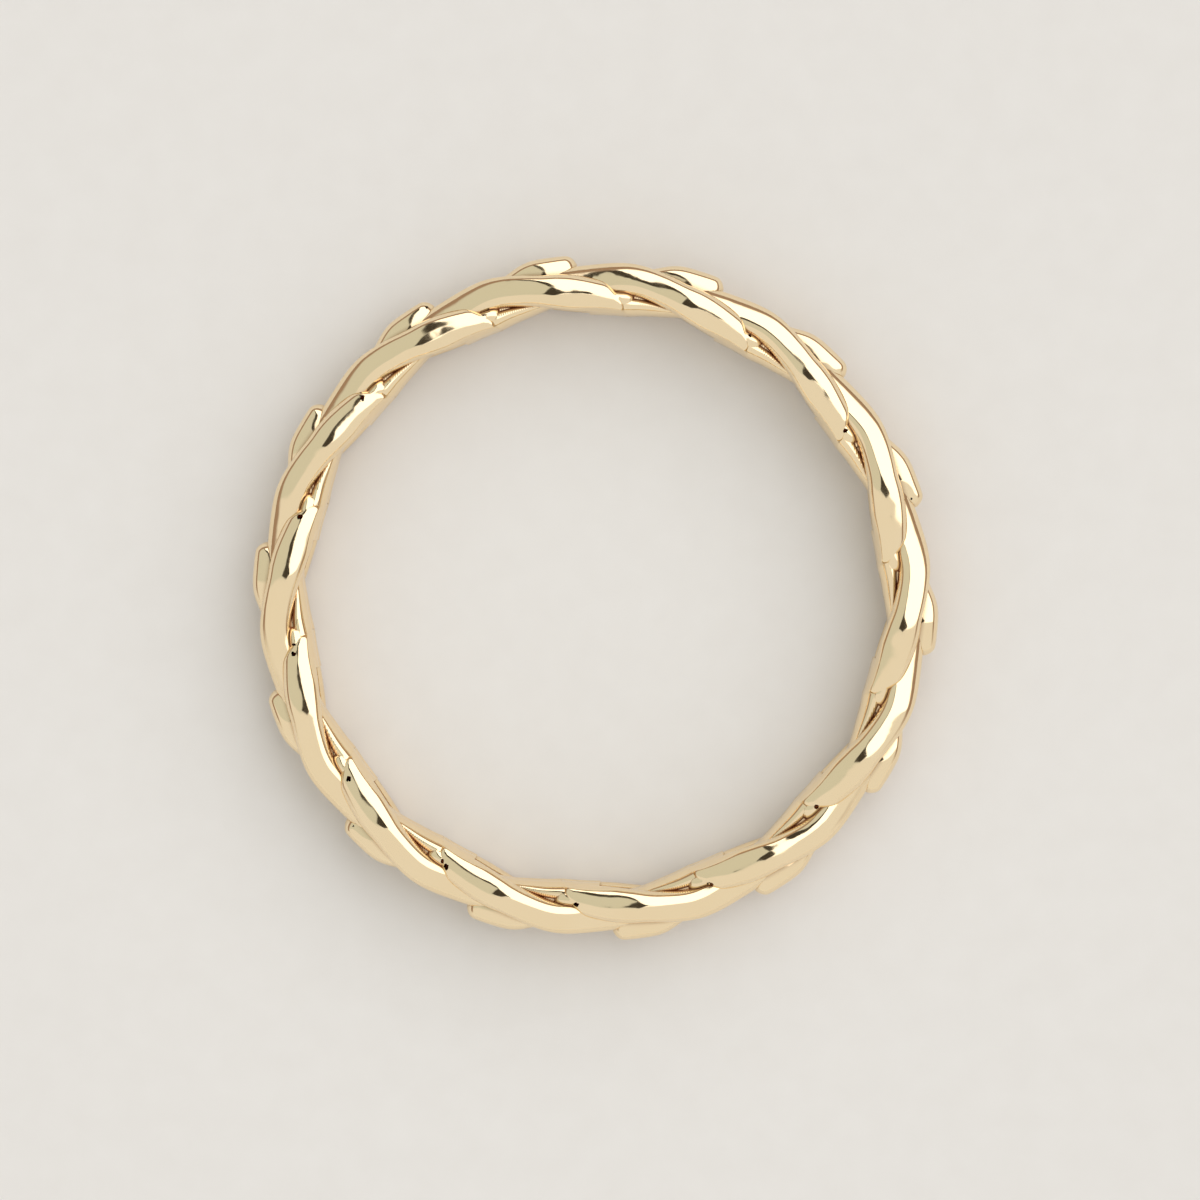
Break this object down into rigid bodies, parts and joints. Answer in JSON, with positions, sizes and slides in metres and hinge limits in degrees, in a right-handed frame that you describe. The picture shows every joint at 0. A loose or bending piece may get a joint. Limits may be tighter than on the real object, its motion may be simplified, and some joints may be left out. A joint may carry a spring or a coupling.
{
  "type": "braided ring",
  "caption": "Plain finger ring cast as a braid of three rows of polished gold strands with blunt overlapping ends.",
  "frame": {"origin": "centre of the ring at the surface that it lies on", "axes": "+Z along the ring's axis, up from the surface; +Y towards the top of the picture"},
  "size_m": [0.0206, 0.0206, 0.0026],
  "materials": {
    "gold": "high polish"
  },
  "bodies": {
    "root": {"braided_band": "gold"}
  },
  "joints": []
}
